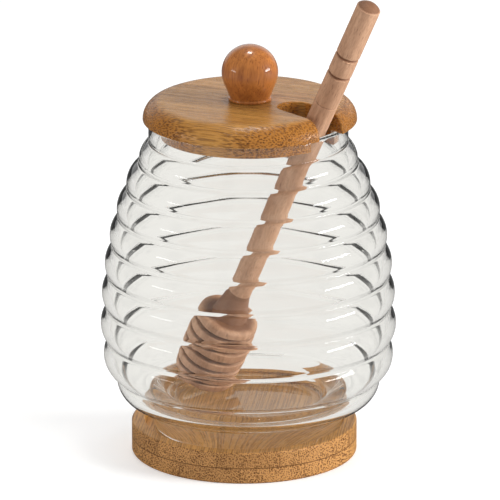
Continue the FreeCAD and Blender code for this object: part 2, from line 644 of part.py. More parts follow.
def make_dipper():
    """Turned honey dipper: barrel head cut into ridges, tapered neck, plain handle with fine grooves.

    It is built upright on its own axis and then leaned across the jar."""
    body = new_body("dipper")
    sketch = new_sketch(body, "dipper_section", "XZ_Plane")
    end, edge, head = size("head_end_radius"), size("head_edge_round"), size("head_length")
    handle, flare, flare_top = size("handle_radius"), size("neck_flare_radius"), size("flare_top")
    straight, tip = size("handle_straight"), size("dipper_length")
    corners = [flat(0, 0), flat(end, 0), flat(end, head), flat(flare, head), flat(flare, head),
               flat(handle, flare_top), flat(handle, straight), flat(0, tip)]
    under = add_line(sketch, corners[0], corners[1], False)
    belly = flat(size("head_radius"), head / 2)
    barrel = sketch.addGeometry(Part.Arc(corners[1], belly, corners[2]), False)
    shoulder = add_line(sketch, corners[2], corners[3], False)
    taper = add_line(sketch, corners[4], corners[5])
    shaft = add_line(sketch, corners[5], corners[6], True)
    dome = sketch.addGeometry(Part.Arc(corners[6], flat(handle * 0.72, straight + 0.48 * (tip - straight)),
                                       corners[7]), False)
    axis = add_line(sketch, corners[7], corners[0], True)
    join(sketch, under, barrel, corners[1], smooth=False)
    join(sketch, barrel, shoulder, corners[2], smooth=False)
    join(sketch, shoulder, taper, corners[3], smooth=False)
    join(sketch, taper, shaft, corners[5], smooth=False)
    join(sketch, shaft, dome, corners[6], smooth=False)
    join(sketch, dome, axis, corners[7], smooth=False)
    join(sketch, axis, under, corners[0], smooth=False)
    sketch.addConstraint(Sketcher.Constraint("Coincident", under, 1, -1, 1))
    sketch.addConstraint(Sketcher.Constraint("PointOnObject", dome, 3, -2))
    bind(sketch, "DistanceX", (-1, 1, under, 2), "end_radius", end, "sizes.head_end_radius")
    sketch.addConstraint(Sketcher.Constraint("Vertical", under, 2, shoulder, 1))
    bind(sketch, "DistanceY", (-1, 1, shoulder, 1), "head_up", head, "sizes.head_length")
    bind(sketch, "DistanceX", (-1, 1, shoulder, 2), "flare_out", flare, "sizes.neck_flare_radius")
    bind(sketch, "DistanceX", (-1, 1, shaft, 1), "shaft_out", handle, "sizes.handle_radius")
    bind(sketch, "DistanceY", (-1, 1, shaft, 1), "taper_up", flare_top, "sizes.flare_top")
    bind(sketch, "DistanceY", (-1, 1, shaft, 2), "shaft_up", straight, "sizes.handle_straight")
    bind(sketch, "DistanceY", (-1, 1, axis, 1), "tip_up", tip, "sizes.dipper_length")
    doc.recompute()
    blank = turn(body, "PartDesign::Revolution", "dipper_blank", sketch)

    ends = round_edges(body, "head_end_edges", blank, "head_edge_round",
                       lambda edge: is_ring(edge, end, 0.0) or is_ring(edge, end, head))

    cut = new_sketch(body, "ridge_cut_section", "XZ_Plane")
    core, low, wide = size("head_core"), size("head_groove_start"), size("head_groove_width")
    out = size("head_radius") + 1.0
    box = [flat(core, low), flat(out, low), flat(out, low + wide), flat(core, low + wide)]
    sides = [add_line(cut, box[n], box[(n + 1) % 4], n % 2 == 1) for n in range(4)]
    for n in range(4):
        join(cut, sides[n], sides[(n + 1) % 4], box[(n + 1) % 4], smooth=False)
    bind(cut, "DistanceX", (-1, 1, sides[0], 1), "core", core, "sizes.head_core")
    bind(cut, "DistanceX", (-1, 1, sides[0], 2), "out", out, "sizes.head_radius + 1")
    bind(cut, "DistanceY", (-1, 1, sides[0], 1), "start", low, "sizes.head_groove_start")
    bind(cut, "DistanceY", (-1, 1, sides[2], 1), "finish", low + wide,
         "sizes.head_groove_start + sizes.head_groove_width")
    doc.recompute()
    groove = turn(body, "PartDesign::Groove", "ridge_cut", cut)
    ridged = repeat(body, "ridge_cuts", groove, cut, HEAD_GROOVES, "head_pitch")
    mouths = [low + size("head_pitch") * n + step for n in range(HEAD_GROOVES) for step in (0.0, wide)]

    def at_mouth(edge):
        """The sharp outer edges of the ridges."""
        ring = ring_of(edge)
        return (ring is not None and ring[0] > end - 1.0
                and min(abs(ring[1] - height) for height in mouths) < 0.02)

    round_edges(body, "ridge_edges", ridged, "ridge_round", at_mouth)

    upper_sketch, upper = triangle_groove(body, "handle_groove", "upper_groove_height",
                                          "handle_groove_width", "handle_groove_depth")
    repeat(body, "handle_grooves", upper, upper_sketch, HANDLE_GROOVES, "handle_groove_step", reverse=True)
    triangle_groove(body, "turned_line", "line_groove_height", "line_groove_width", "line_groove_depth")

    body.setExpression("Placement", "create(<<placement>>; create(<<vector>>; sizes.dipper_across;"
                                    " sizes.dipper_back; sizes.dipper_foot_height);"
                                    " create(<<rotation>>; create(<<vector>>;"
                                    " -sin(sizes.dipper_turn * 1deg); cos(sizes.dipper_turn * 1deg); 0);"
                                    " sizes.dipper_lean * 1deg))")
    doc.recompute()
    return body


def check(pieces):
    """Stop if any feature failed or any piece isn't one valid closed solid."""
    for feature in doc.Objects:
        if "Invalid" in feature.State or "Error" in feature.State:
            raise RuntimeError("%s: %s" % (feature.Name, feature.State))
    for piece in pieces:
        shape = piece.Shape
        if shape.isNull() or not shape.isValid() or len(shape.Solids) != 1:
            raise RuntimeError("%s isn't one valid solid" % piece.Name)


def main():
    """Build every piece and write each as its own STEP file."""
    fill_sheet()
    pieces = [make_base(), make_jar(), make_lid(), make_knob(), make_dipper()]
    doc.recompute()
    check(pieces)
    for piece in pieces:
        piece.Shape.exportStep(os.path.join("parts", piece.Name + ".step"))
        box = piece.Shape.BoundBox
        print("%-7s %8.1f mm3  x %.2f..%.2f  y %.2f..%.2f  z %.2f..%.2f" % (
            piece.Name, piece.Shape.Volume, box.XMin, box.XMax, box.YMin, box.YMax, box.ZMin, box.ZMax))


main()
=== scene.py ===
import math

import bmesh
import bpy
from bpy.props import FloatProperty, FloatVectorProperty, PointerProperty
from bpy.types import Operator, Panel, PropertyGroup
from mathutils import Euler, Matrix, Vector


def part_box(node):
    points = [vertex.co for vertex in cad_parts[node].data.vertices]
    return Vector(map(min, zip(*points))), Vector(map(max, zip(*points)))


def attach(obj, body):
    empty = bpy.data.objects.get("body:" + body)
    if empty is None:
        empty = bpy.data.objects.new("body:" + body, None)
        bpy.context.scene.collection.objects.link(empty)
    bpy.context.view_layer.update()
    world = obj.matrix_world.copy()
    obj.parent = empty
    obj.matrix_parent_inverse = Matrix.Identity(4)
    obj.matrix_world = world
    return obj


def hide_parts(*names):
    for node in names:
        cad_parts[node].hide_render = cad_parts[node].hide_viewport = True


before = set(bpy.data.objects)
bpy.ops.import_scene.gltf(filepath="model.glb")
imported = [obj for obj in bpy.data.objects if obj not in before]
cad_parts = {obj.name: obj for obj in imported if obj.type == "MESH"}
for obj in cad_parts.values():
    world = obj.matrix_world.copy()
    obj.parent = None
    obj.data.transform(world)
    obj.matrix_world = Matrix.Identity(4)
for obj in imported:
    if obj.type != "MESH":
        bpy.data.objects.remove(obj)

bl_info = {
    "name": "Honey Jar Finishes",
    "version": (1, 0, 0),
    "blender": (4, 5, 0),
    "location": "View3D > Sidebar > Honey Jar",
    "description": "Ribbed glass, bamboo lid and base, lacquered knob, beech dipper and studio",
    "category": "Object",
}

RIBS = 9                   # bulging ribs up the glass
GROWING_STEPS = 5          # steps down from the top over which the ribs' pitch grows
FACET = math.radians(8.0)  # longest step round an arc of the glass's section
SIDES = 176                # steps in one turn of the glass
WELD = 1e-6                # metres within which doubled points are merged
ARMS = 8                   # white arms round the jar, as the glass shows them
ARM_EDGE = 1.25            # where an arm's soft edge ends, over half the arm's width
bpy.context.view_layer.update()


def colour(name, default, description):
    """A colour property."""
    return FloatVectorProperty(name=name, description=description, subtype="COLOR", size=3,
                               min=0.0, max=1.0, default=default)


def length(name, default, description):
    """A length property in metres."""
    return FloatProperty(name=name, description=description, unit="LENGTH", default=default,
                         precision=5)


def angle(name, default, description):
    """An angle property, with its default given in degrees."""
    return FloatProperty(name=name, description=description, unit="ROTATION",
                         default=math.radians(default))


def power(name, default, description):
    """A lamp's power property in watts."""
    return FloatProperty(name=name, description=description, unit="POWER", min=0.0,
                         default=default)


def share(name, default, description):
    """A property from nothing to one."""
    return FloatProperty(name=name, description=description, subtype="FACTOR", min=0.0, max=1.0,
                         default=default)


def number(name, default, description):
    """A plain number property."""
    return FloatProperty(name=name, description=description, min=0.0, default=default)


class GlassSettings(PropertyGroup):
    """Clear moulded glass: the CAD jar's ribs with softer grooves, outside and inside."""
    belly: length("Belly", 0.050, "Widest rib, from the axis")
    belly_height: length("Belly height", 0.0387, "Where the ribs reach furthest out")
    upper_reach: length("Upper reach", 0.0877, "Height over which the shape closes above the belly")
    upper_fullness: number("Upper fullness", 2.45, "Fullness of the shoulder")
    lower_reach: length("Lower reach", 0.0371, "Height over which the shape closes below the belly")
    lower_fullness: number("Lower fullness", 1.48, "Fullness below the belly")
    top_rib: length("Top rib", 0.1023, "Height of the uppermost rib")
    first_pitch: length("First pitch", 0.0082, "Step from the first rib to the second")
    full_pitch: length("Full pitch", 0.0108, "Step between the large ribs")
    foot_pitch: length("Foot pitch", 0.0085, "Step to the lowest rib")
    rib_round: length("Rib round", 0.0084, "Radius of every rib")
    groove: length("Groove", 0.0013, "Radius in the grooves outside")
    inner_groove: length("Inner groove", 0.0022, "Softer radius in the grooves inside")
    wall: length("Wall", 0.0024, "Thickness at the neck and ribs, less in the grooves")
    inset: length("Inset", 0.0016, "How far the inner ribs' centres lie inside the outer ones'")
    neck: length("Neck", 0.0336, "Neck, from the axis")
    neck_cove: length("Neck cove", 0.0012, "Cove between the neck and the first rib")
    rim: length("Rim", 0.1163, "Top of the glass")
    foot: length("Foot", 0.032, "Foot, from the axis")
    foot_cove: length("Foot cove", 0.0014, "Cove between the lowest rib and the foot")
    heel: length("Heel", 0.002, "Lower edge of the foot")
    seat: length("Seat", 0.0085, "Height of the seat it stands on")
    contact: length("Contact", 0.00002, "How far the glass presses into the wood")
    floor: length("Floor", 0.015, "Height of the floor inside")
    ledge: length("Ledge", 0.0046, "Rounded ledge over the foot, inside")
    corner: length("Corner", 0.004, "Corner of the floor inside")
    tint: colour("Tint", (0.99, 0.992, 0.985), "Colour of light that has passed one surface")
    shade: colour("Shade", (0.955, 0.957, 0.95), "Colour of the light that reaches other pieces")
    bend: number("Refractive index", 1.47, "How strongly the glass bends light")
    wave: length("Wave", 0.014, "Width of the slow waves left by the mould")
    wave_relief: length("Wave relief", 0.0004, "Height of those waves")
    wave_depth: share("Wave depth", 0.05, "How deep the waves look")


class BambooSettings(PropertyGroup):
    """Laminated bamboo: glued strips full of long dark bundles."""
    pale: colour("Pale", (0.585, 0.290, 0.074), "Ground along the grain")
    warm: colour("Warm", (0.61, 0.305, 0.098), "The base's ground where the grain is cut across")
    # The lid's copy of the warm ground is darker. It is painted shade, mostly on the roundover
    # where the grain is cut across, which the lamps light more than the base's sides.
    lid_shaded_warm: colour("Lid shaded warm", (0.43, 0.176, 0.035), "The lid's ground there")
    dark: colour("Dark", (0.115, 0.038, 0.007), "The bundles")
    lid_grain: angle("Lid grain", -23.0, "Direction of the lid's grain, seen from above")
    base_grain: angle("Base grain", 84.0, "Direction of the base's grain, seen from above")
    strip: length("Strip", 0.021, "Width of one glued strip")
    lid_seam: share("Lid seam", 0.60, "Where the lid's strips start, in strips")
    base_seam: share("Base seam", 0.05, "Where the base's strips start, in strips")
    ply_shift: share("Ply shift", 0.62, "How far the upper ply's strips are shifted, in strips")
    bundle: length("Bundle", 0.00062, "Spacing of the bundles")
    streak: length("Streak", 0.0055, "How long a bundle stays dark")
    relief: length("Relief", 0.00009, "Depth of the open grain")
    varnish: share("Varnish", 0.20, "Roughness of the lid's satin varnish")
    oil: share("Oil", 0.36, "Roughness of the oiled base")


class KnobSettings(PropertyGroup):
    """Turned ball under gloss lacquer."""
    light: colour("Light", (0.57, 0.205, 0.045), "Spring wood")
    dark: colour("Dark", (0.23, 0.055, 0.010), "Summer wood")
    ring: length("Ring", 0.0024, "Spacing of the growth rings")
    # The rings' axis also places the painted shade on the knob's left side.
    heart_left: length("Heart left", 0.047, "Rings' axis at the table, left of the knob's middle")
    heart_behind: length("Heart behind", 0.016, "The same axis there, behind the knob's middle")
    lean_back: angle("Lean back", 9.0, "Lean of the rings' axis to the back")
    lean_right: angle("Lean right", 6.0, "Lean of the rings' axis to the right")
    pore_relief: length("Pore relief", 0.00002, "Depth of the pores under the lacquer")
    gloss: share("Lacquer roughness", 0.07, "Smoothness of the lacquer")


class DipperSettings(PropertyGroup):
    """Plain sanded beech."""
    light: colour("Light", (0.62, 0.370, 0.232), "Ground of the wood")
    deep: colour("Deep", (0.40, 0.212, 0.120), "Slow darker bands")
    # The fleck colour also paints the shade in the turned grooves.
    fleck: colour("Fleck", (0.15, 0.055, 0.022), "Short flecks along the grain")
    lean: angle("Lean", 26.6, "From upright")
    lean_towards: angle("Lean towards", -39.6, "Direction of the lean, seen from above")
    foot_across: length("Foot across", -0.01566, "Middle of the head's underside")
    foot_back: length("Foot back", 0.01665, "The same point, from front to back")
    foot_height: length("Foot height", 0.01938, "The same point, above the table")
    neck_height: length("Neck height", 0.037, "Where the plain handle starts, along the dipper")
    # The handle and head radii set where the painted groove shade begins.
    handle: length("Handle", 0.00407, "Handle, from its axis")
    head: length("Head", 0.0103, "Head's ridges, from their axis")
    fleck_width: length("Fleck width", 0.00045, "Spacing of the flecks across the grain")
    fleck_stretch: number("Fleck stretch", 9.0, "Length of a fleck over its width")
    relief: length("Relief", 0.00005, "Depth of the open grain")


class StudioSettings(PropertyGroup):
    """Soft white studio and the camera."""
    camera_across: length("Camera across", 0.000545, "Camera from the jar's axis")
    camera_back: length("Camera back", -2.270, "Camera in front of the jar's axis")
    camera_height: length("Camera height", 0.7675, "Camera above the table")
    camera_pitch: angle("Camera pitch", 17.07, "Downward tilt of the view")
    camera_lens: number("Lens", 506.7, "Focal length in millimetres for a 36 mm wide sensor")
    key_lamp: power("Key lamp", 14.0, "Broad lamp on the right, kept out of reflections")
    soft_lamp: power("Soft lamp", 3.8, "Broad lamp on the left, kept out of reflections")
    side_lamp: power("Side lamp", 3.6, "Wide low lamp on the right, seen in the gloss")
    fill_lamp: power("Fill lamp", 0.7, "Weaker wide low lamp on the left, seen in the gloss")
    top_lamp: power("Top lamp", 2.8, "Small lamp overhead, seen in the gloss")
    aim: length("Aim", 0.08, "Height on the jar's axis that the lamps face")
    daylight: number("Daylight", 0.50, "Even light from all round")
    floor_size: length("Floor size", 40.0, "Side of the floor")
    paper: colour("Paper", (0.80, 0.80, 0.80), "The floor")
    gloss_paper: colour("Paper in the gloss", (0.16, 0.16, 0.16), "The floor as lacquer shows it")
    paper_glow: share("Paper glow", 0.36, "What the floor adds to look white to the camera")
    backdrop: colour("Backdrop", (0.90, 0.885, 0.85), "White arms as the glass shows them")
    flag: colour("Flag", (0.47, 0.468, 0.455), "Grey between them, which draws the glass's edges")
    floor_arm: length("Arm at the jar", 0.055, "Half the width of an arm at the jar's axis")
    floor_spread: share("Arm spread", 0.19, "How an arm on the floor widens outwards")
    sky_spread: share("Sky arm spread", 0.25, "How an arm above the floor widens outwards")


class Finish:
    """The node tree of a material or a world, with short ways to add nodes to it."""

    def __init__(self, owner, output="ShaderNodeOutputMaterial"):
        self.owner = owner
        owner.use_nodes = True
        self.tree = owner.node_tree
        self.tree.nodes.clear()
        self.output = self.tree.nodes.new(output)

    def feed(self, socket, value):
        """Link a socket to another's output, or set its value."""
        if isinstance(value, bpy.types.NodeSocket):
            self.tree.links.new(value, socket)
        elif socket.type == "RGBA" and len(value) == 3:
            socket.default_value = (*value, 1.0)
        else:
            socket.default_value = value

    def add(self, kind, inputs=None, **settings):
        """A node with its settings and inputs; inputs may be named or numbered."""
        node = self.tree.nodes.new(kind)
        for key, value in settings.items():
            setattr(node, key, value)
        for key, value in (inputs or {}).items():
            self.feed(node.inputs[key], value)
        return node

    def calc(self, operation, one, two=0.0, three=0.0):
        """A number worked out from others."""
        inputs = {0: one, 1: two, 2: three}
        return self.add("ShaderNodeMath", inputs, operation=operation).outputs[0]

    def span(self, value, low, high, start=0.0, end=1.0):
        """A value carried softly from one range to another, held at the ends."""
        node = self.add("ShaderNodeMapRange", {"Value": value, "From Min": low, "From Max": high,
                                               "To Min": start, "To Max": end},
                        interpolation_type="SMOOTHSTEP", clamp=True)
        return node.outputs["Result"]

    def blend(self, factor, one, two):
        """Two colours mixed."""
        node = self.add("ShaderNodeMix", data_type="RGBA", clamp_factor=True)
        self.feed(node.inputs["Factor"], factor)
        self.feed(node.inputs[6], one)
        self.feed(node.inputs[7], two)
        return node.outputs[2]

    def layered(self, ground, coat, amounts):
        """A colour with another laid over it by each amount in turn."""
        for amount in amounts:
            ground = self.blend(amount, ground, coat)
        return ground

    def noise(self, vector, scale, detail=2.0, roughness=0.5):
        """Smooth noise from nothing to one, with scale waves to a metre."""
        node = self.add("ShaderNodeTexNoise", {"Vector": vector, "Scale": scale, "Detail": detail,
                                               "Roughness": roughness})
        return node.outputs["Fac"]

    def cells(self, vector, scale, randomness=1.0, dimensions="3D"):
        """Distance from the nearest of many scattered points."""
        node = self.add("ShaderNodeTexVoronoi", {"Vector": vector, "Scale": scale,
                                                 "Randomness": randomness},
                        voronoi_dimensions=dimensions)
        return node.outputs["Distance"]

    def place(self):
        """Object coordinates."""
        return self.add("ShaderNodeTexCoord").outputs["Object"]

    def mapped(self, vector, scale=(1.0, 1.0, 1.0), turn=(0.0, 0.0, 0.0), shift=(0.0, 0.0, 0.0)):
        """Coordinates scaled, then turned, then shifted."""
        node = self.add("ShaderNodeMapping", {"Vector": vector, "Scale": scale, "Rotation": turn,
                                              "Location": shift}, vector_type="POINT")
        return node.outputs[0]

    def parts(self, vector):
        """The three coordinates of a vector."""
        return self.add("ShaderNodeSeparateXYZ", {0: vector}).outputs

    def reach(self, across, back):
        """Distance from an upright axis."""
        squares = [self.calc("POWER", value, 2.0) for value in (across, back)]
        return self.calc("SQRT", self.calc("ADD", *squares))

    def bump(self, height, depth, strength):
        """A normal raised by a height from nothing to one, over a depth in metres."""
        node = self.add("ShaderNodeBump", {"Height": height, "Strength": strength,
                                           "Distance": depth})
        return node.outputs["Normal"]

    def mix(self, factor, one, two):
        """Two shaders mixed."""
        return self.add("ShaderNodeMixShader", {0: factor, 1: one.outputs[0], 2: two.outputs[0]})

    def glow(self, look, strength):
        """Light of a colour from the surroundings, for a world."""
        return self.add("ShaderNodeBackground", {"Color": look, "Strength": strength})

    def surface(self, shader):
        """Show a shader's first output."""
        self.tree.links.new(shader.outputs[0], self.output.inputs["Surface"])
        return self.owner


def new_finish(name):
    """The finish of a new material."""
    return Finish(bpy.data.materials.new(name))


def new_piece(name, mesh):
    """An object at the origin that takes over a bmesh."""
    data = bpy.data.meshes.new(name)
    mesh.to_mesh(data)
    mesh.free()
    piece = bpy.data.objects.new(name, data)
    bpy.context.scene.collection.objects.link(piece)
    return piece


def touch(centre, radius, other):
    """Where a circle meets another that lies outside it and touches it."""
    return centre + (other - centre).normalized() * radius


def nested(one, one_radius, two, two_radius, small):
    """Centre of a small circle that touches two others in the outer hollow between them."""
    reach, other = one_radius + small, two_radius + small
    apart = two - one
    along = (reach ** 2 - other ** 2 + apart.length_squared) / (2 * apart.length)
    off = math.sqrt(reach ** 2 - along ** 2)
    aside = Vector((-apart.y, apart.x)).normalized()
    return one + apart.normalized() * along + aside * math.copysign(off, aside.x)


def beside(centre, radius, across, small, side):
    """Centre of a small circle at a given distance from the axis that touches another.

    It lies above the other where side is 1 and below it where side is -1."""
    rise = math.sqrt((radius + small) ** 2 - (across - centre.x) ** 2)
    return Vector((across, centre.y + side * rise))


class Outline:
    """A section in the XZ plane, drawn from point to point and then turned about Z."""

    def __init__(self, start):
        self.mesh = bmesh.new()
        point = bmesh.ops.create_vert(self.mesh, co=(start.x, 0.0, start.y))
        self.end = point["vert"][0]

    def line(self, end):
        """Straight to a point."""
        self.end = bmesh.ops.extrude_vert_indiv(self.mesh, verts=[self.end])["verts"][0]
        self.end.co = (end.x, 0.0, end.y)

    def arc(self, centre, end):
        """Round a centre to a point, the shorter way."""
        middle = Vector((centre.x, 0.0, centre.y))
        here = self.end.co - middle
        there = Vector((end.x, 0.0, end.y)) - middle
        turn = here.angle(there)
        spun = bmesh.ops.spin(self.mesh, geom=[self.end], cent=middle,
                              axis=here.cross(there).normalized(), angle=turn,
                              steps=max(2, math.ceil(turn / FACET)))
        self.end = [item for item in spun["geom_last"] if isinstance(item, bmesh.types.BMVert)][0]

    def chain(self, circles):
        """Along circles that each touch the next, up to where the last two meet."""
        for (centre, radius), (other, _) in zip(circles, circles[1:]):
            self.arc(centre, touch(centre, radius, other))

    def turned(self, name):
        """The solid of revolution as an object."""
        bmesh.ops.spin(self.mesh, geom=self.mesh.verts[:] + self.mesh.edges[:],
                       cent=(0.0, 0.0, 0.0), axis=(0.0, 0.0, 1.0), angle=2 * math.pi,
                       steps=SIDES, use_merge=True)
        bmesh.ops.remove_doubles(self.mesh, verts=self.mesh.verts, dist=WELD)
        bmesh.ops.recalc_face_normals(self.mesh, faces=self.mesh.faces)
        for face in self.mesh.faces:
            face.smooth = True
        return new_piece(name, self.mesh)


def rib_places(glass):
    """Centre of each rib's arc, from the top down."""
    places, height = [], glass.top_rib
    for rib in range(RIBS):
        upper = height > glass.belly_height
        reach = glass.upper_reach if upper else glass.lower_reach
        fullness = glass.upper_fullness if upper else glass.lower_fullness
        close = (abs(height - glass.belly_height) / reach) ** fullness
        places.append(Vector((glass.belly * math.sqrt(1.0 - close) - glass.rib_round, height)))
        growth = min(1.0, rib / GROWING_STEPS)
        grown = glass.first_pitch + (glass.full_pitch - glass.first_pitch) * growth
        height -= glass.foot_pitch if rib == RIBS - 2 else grown
    return places


def with_grooves(ribs, groove):
    """Rib circles with the small circle of the groove after each but the last."""
    circles = []
    for (centre, radius), (other, other_radius) in zip(ribs, ribs[1:]):
        hollow = nested(centre, radius, other, other_radius, groove)
        circles += [(centre, radius), (hollow, groove)]
    return circles + ribs[-1:]


def glass_wall(glass):
    """The ribbed jar, from the middle of its underside round the outside, rim and inside."""
    places = rib_places(glass)
    outer = [(place, glass.rib_round) for place in places]
    inner = [(place - Vector((glass.inset, 0.0)), glass.rib_round - glass.wall + glass.inset)
             for place in places[:-1]]
    inner.append((places[-1], glass.rib_round - glass.wall))

    # coves that lead to the neck and the foot, outside and inside
    neck = (beside(*outer[0], glass.neck + glass.neck_cove, glass.neck_cove, 1), glass.neck_cove)
    foot = (beside(*outer[-1], glass.foot + glass.foot_cove, glass.foot_cove, -1), glass.foot_cove)
    bore = glass.neck - glass.wall
    throat = (beside(*inner[0], bore + glass.neck_cove, glass.neck_cove, 1), glass.neck_cove)
    ledge = (beside(*inner[-1], glass.foot - glass.wall / 2, glass.ledge, -1), glass.ledge)
    corner_up = glass.floor + glass.corner
    inward = math.sqrt((glass.ledge + glass.corner) ** 2 - (corner_up - ledge[0].y) ** 2)
    corner = (Vector((ledge[0].x - inward, corner_up)), glass.corner)

    # underside, heel and outside
    ring = Vector((glass.foot - glass.heel, glass.seat - glass.contact))
    outline = Outline(Vector((0.0, ring.y)))
    outline.line(ring)
    outline.arc(ring + Vector((0.0, glass.heel)), Vector((glass.foot, ring.y + glass.heel)))
    outline.line(Vector((glass.foot, foot[0].y)))
    outline.chain([foot] + with_grooves(outer, glass.groove)[::-1] + [neck])
    outline.arc(neck[0], Vector((glass.neck, neck[0].y)))

    # neck, rounded lip and bore
    lip = Vector((glass.neck - glass.wall / 2, glass.rim - glass.wall / 2))
    outline.line(Vector((glass.neck, lip.y)))
    outline.arc(lip, Vector((lip.x, glass.rim)))
    outline.arc(lip, Vector((bore, lip.y)))
    outline.line(Vector((bore, throat[0].y)))

    # inside and its floor
    outline.chain([throat] + with_grooves(inner, glass.inner_groove) + [ledge, corner])
    outline.arc(corner[0], Vector((corner[0].x, glass.floor)))
    outline.line(Vector((0.0, glass.floor)))
    return outline.turned("glass_wall")


def dress(node, material):
    """Give a CAD node a material in all its slots."""
    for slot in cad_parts[node].material_slots:
        slot.material = material


def bamboo(name, settings, warm, grain, first_seam, gloss, ply_height=None):
    """Laminated bamboo whose long dark bundles run along the grain.

    The pattern is solid, so the bundles show as streaks along a face and as dots where the
    grain is cut across."""
    finish = new_finish(name)
    along = finish.mapped(finish.place(), turn=(0.0, 0.0, -grain))
    _, across, up = finish.parts(along)

    # glued strips, with other joints and other strips in each ply
    ply = finish.calc("GREATER_THAN", up, ply_height) if ply_height else 0.0
    waver = finish.noise(finish.mapped(along, (0.2, 1.0, 1.0)), 60.0, detail=1.0)
    strip_at = finish.calc("MULTIPLY_ADD", across, 1.0 / settings.strip, first_seam)
    strip_at = finish.calc("MULTIPLY_ADD", ply, settings.ply_shift, strip_at)
    strip_at = finish.calc("MULTIPLY_ADD", waver, 0.02, strip_at)
    strip = finish.calc("MULTIPLY_ADD", ply, 17.0, finish.calc("FLOOR", strip_at))
    tone = finish.add("ShaderNodeTexWhiteNoise", {"W": strip}, noise_dimensions="1D")
    seam = finish.span(finish.calc("PINGPONG", strip_at, 0.5), 0.014, 0.0)

    # bundles: scattered dots in the cut across the grain, other ones in each strip, that
    # wander a little along the grain
    wander = finish.noise(finish.mapped(along, (0.06, 1.0, 1.0)), 900.0, detail=1.0)
    other_strip = finish.calc("MULTIPLY", strip, 7.3)
    drift = finish.calc("MULTIPLY", wander, 1.2)
    cut = finish.add("ShaderNodeCombineXYZ", {
        0: finish.calc("MULTIPLY_ADD", across, 1.0 / settings.bundle, other_strip),
        1: finish.calc("MULTIPLY_ADD", up, 1.0 / settings.bundle, drift)})
    spots = finish.cells(cut.outputs[0], 1.0, randomness=0.8, dimensions="2D")
    edge = finish.span(finish.noise(along, 260.0), 0.3, 0.7, 0.36, 0.56)
    bundle = finish.span(spots, finish.calc("MULTIPLY", edge, 0.45), edge)
    bundle = finish.calc("SUBTRACT", 1.0, bundle)

    # what changes along the grain
    stretch = settings.bundle / settings.streak
    streaks = finish.noise(finish.mapped(along, (stretch, 1.0, 1.0)), 1.0 / settings.bundle,
                           roughness=0.6)
    fibres = finish.noise(finish.mapped(along, (0.035, 1.0, 1.0)), 3.2 / settings.bundle,
                          roughness=0.65)
    clouds = finish.noise(finish.mapped(along, (0.25, 1.0, 1.0)), 95.0, detail=3.0)

    # the cut across the grain is warmer and its dots are darker
    normal = finish.add("ShaderNodeTexCoord").outputs["Normal"]
    grain_line = (math.cos(grain), math.sin(grain), 0.0)
    facing = finish.add("ShaderNodeVectorMath", {0: normal, 1: grain_line},
                        operation="DOT_PRODUCT")
    across_cut = finish.span(finish.calc("ABSOLUTE", facing.outputs["Value"]), 0.04, 0.42)

    # For the lid, warm is its darker copy, which paints shade where the grain is cut across.
    ground = finish.blend(across_cut, settings.pale, warm)
    ground = finish.blend(finish.span(clouds, 0.35, 0.72, 0.0, 0.5), ground, warm)
    shown = finish.calc("MULTIPLY", bundle, finish.span(streaks, 0.30, 0.60, 0.45, 1.0))
    strength = finish.calc("MULTIPLY_ADD", across_cut, 0.45, 0.55)
    darker = [finish.span(tone.outputs["Value"], 0.0, 1.0, 0.0, 0.20),
              finish.span(fibres, 0.36, 0.72, 0.0, 0.26),
              finish.calc("MULTIPLY", shown, strength),
              finish.calc("MULTIPLY", seam, 0.45)]
    if ply_height:
        glue_line = finish.calc("ABSOLUTE", finish.calc("SUBTRACT", up, ply_height))
        glue_line = finish.calc("MULTIPLY_ADD", waver, 0.0001, glue_line)
        darker.append(finish.calc("MULTIPLY", finish.span(glue_line, 0.00034, 0.00014), 0.75))
    shade = finish.layered(ground, settings.dark, darker)

    relief = finish.calc("SUBTRACT", finish.calc("MULTIPLY", fibres, 0.4), shown)
    shader = finish.add("ShaderNodeBsdfPrincipled", {
        "Base Color": shade, "Roughness": finish.span(streaks, 0.3, 0.7, gloss, gloss + 0.12),
        "IOR": 1.48, "Normal": finish.bump(relief, settings.relief, 0.6)})
    return finish.surface(shader)


class JAR_OT_glass(Operator):
    """Clear moulded glass with faint waves."""
    bl_idname = "honey_jar.glass"
    bl_label = "Glass"

    def execute(self, context):
        settings = context.scene.jar_glass
        finish = new_finish("clear_glass")
        waves = finish.noise(finish.mapped(finish.place(), (1.0, 1.0, 1.6)), 1.0 / settings.wave,
                             detail=1.0)
        glass = finish.add("ShaderNodeBsdfPrincipled", {
            "Base Color": settings.tint, "Roughness": 0.0, "IOR": settings.bend,
            "Transmission Weight": 1.0,
            "Normal": finish.bump(waves, settings.wave_relief, settings.wave_depth)})
        clear = finish.add("ShaderNodeBsdfTransparent", {"Color": settings.shade})
        rays = finish.add("ShaderNodeLightPath").outputs
        lamp_ray = finish.calc("MAXIMUM", rays["Is Shadow Ray"], rays["Is Diffuse Ray"])
        wall = glass_wall(settings)
        wall.data.materials.append(finish.surface(finish.mix(lamp_ray, glass, clear)))
        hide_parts("jar")
        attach(wall, "root")
        return {"FINISHED"}


class JAR_OT_lid(Operator):
    """Bamboo lid."""
    bl_idname = "honey_jar.lid"
    bl_label = "Lid"

    def execute(self, context):
        settings = context.scene.jar_bamboo
        # The lid takes the darker warm ground, which paints shade on its roundover.
        dress("lid", bamboo("lid_bamboo", settings, settings.lid_shaded_warm, settings.lid_grain,
                            settings.lid_seam, settings.varnish))
        return {"FINISHED"}


class JAR_OT_base(Operator):
    """Bamboo base of two glued plies."""
    bl_idname = "honey_jar.base"
    bl_label = "Base"

    def execute(self, context):
        settings = context.scene.jar_bamboo
        low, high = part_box("base")
        dress("base", bamboo("base_bamboo", settings, settings.warm, settings.base_grain,
                             settings.base_seam, settings.oil, 0.5 * (low.z + high.z)))
        return {"FINISHED"}


